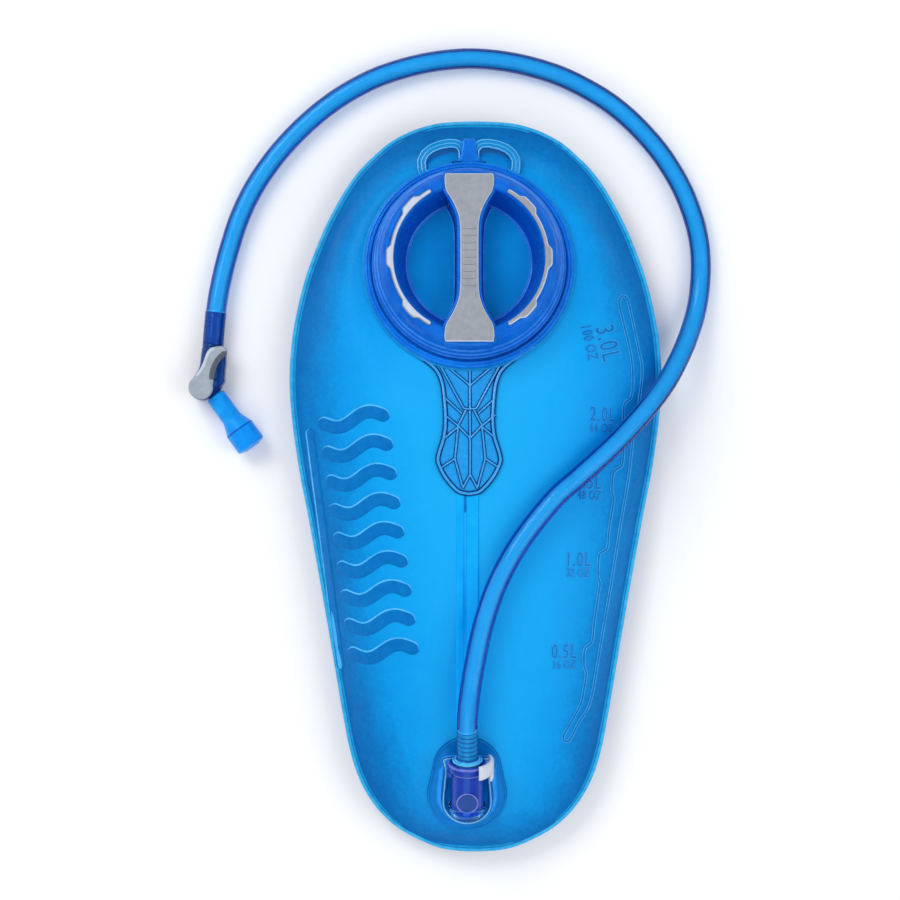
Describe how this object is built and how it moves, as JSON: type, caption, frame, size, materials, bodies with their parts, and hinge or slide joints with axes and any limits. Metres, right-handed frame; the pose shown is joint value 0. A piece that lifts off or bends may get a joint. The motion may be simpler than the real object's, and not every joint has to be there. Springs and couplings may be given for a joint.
{
  "type": "hydration bladder",
  "caption": "Soft two-film water reservoir with a large screw cap, a quick-release outlet at the foot, a flexible drink tube, and a lever shut-off with a bite mouthpiece.",
  "frame": {"origin": "centre of the reservoir's outline, at the face of the back film that lies on the ground", "axes": "+X across the reservoir towards the side with the release button, +Y from the outlet port to the screw cap, +Z out of the front film"},
  "size_m": [0.3022, 0.4645, 0.0663],
  "materials": {
    "film_front": "satin translucent film",
    "film_back": "satin translucent film",
    "film_baffle": "satin translucent film",
    "clear_moulding": "clear glossy soft moulding",
    "collar_plastic": "glossy translucent moulding",
    "cap_plastic": "glossy translucent moulding",
    "soft_grip": "fine matte overmould",
    "gasket_rubber": "matte",
    "clear_port": "clear glossy moulding",
    "socket_plastic": "glossy moulding",
    "valve_plastic": "satin",
    "seal_rubber": "matte",
    "spring_steel": "bright wire",
    "button_plastic": "satin",
    "plug_plastic": "glossy translucent moulding",
    "tube_plastic": "glossy translucent tube",
    "valve_blue": "satin moulding",
    "lever_plastic": "satin",
    "bite_rubber": "satin soft silicone"
  },
  "bodies": {
    "reservoir": {"front_film": "film_front", "back_film": "film_back", "center_baffle": "film_baffle", "handle_moulding": "clear_moulding", "fill_collar": "collar_plastic", "outlet_port": "clear_port", "port_socket": "socket_plastic", "poppet_spring": "spring_steel", "button_spring": "spring_steel"},
    "cap_seal": {"cap_gasket": "gasket_rubber"},
    "cap": {"cap_shell": "cap_plastic", "cap_grip_bar": "soft_grip", "cap_grip_arcs": "soft_grip"},
    "drink_line": {"link_plug": "plug_plastic", "plug_o_ring": "seal_rubber", "drink_tube": "tube_plastic", "valve_body": "valve_blue", "bite_valve": "bite_rubber"},
    "shutoff": {"shutoff_core": "valve_plastic", "core_o_rings": "seal_rubber", "shutoff_lever": "lever_plastic"},
    "button": {"release_button": "button_plastic"},
    "poppet": {"port_poppet": "valve_plastic", "poppet_seal": "seal_rubber"}
  },
  "joints": [
    {"name": "cap_rise", "type": "slide", "parent": "reservoir", "child": "cap_seal", "axis": [0, 0.1045, 0.9945], "range_m": [0, 0.0152]},
    {"name": "cap_turn", "type": "hinge", "parent": "cap_seal", "child": "cap", "pos_m": [-0.004, 0.125, 0.036], "axis": [0, 0.1045, 0.9945], "range_deg": [0, 450]},
    {"name": "link_pull", "type": "slide", "parent": "reservoir", "child": "drink_line", "axis": [0, 0.9613, 0.2756], "range_m": [0, 0.018]},
    {"name": "poppet_close", "type": "slide", "parent": "reservoir", "child": "poppet", "axis": [0, 0.9613, 0.2756], "range_m": [0, 0.0025], "deforming": ["poppet_spring"]},
    {"name": "button_press", "type": "slide", "parent": "reservoir", "child": "button", "axis": [-1, 0, 0], "range_m": [0, 0.0015], "stiffness_N_per_m": 600, "springref_m": -0.001, "deforming": ["button_spring"]},
    {"name": "lever_turn", "type": "hinge", "parent": "drink_line", "child": "shutoff", "pos_m": [-0.158, 0.057, 0.009], "axis": [0, 0, 1], "range_deg": [0, 90]}
  ],
  "couplings": [
    {"joint": "cap_rise", "follows": "cap_turn", "m_per_rad": 0.0019099},
    {"joint": "poppet_close", "follows": "link_pull", "ratio": 0.13889}
  ]
}
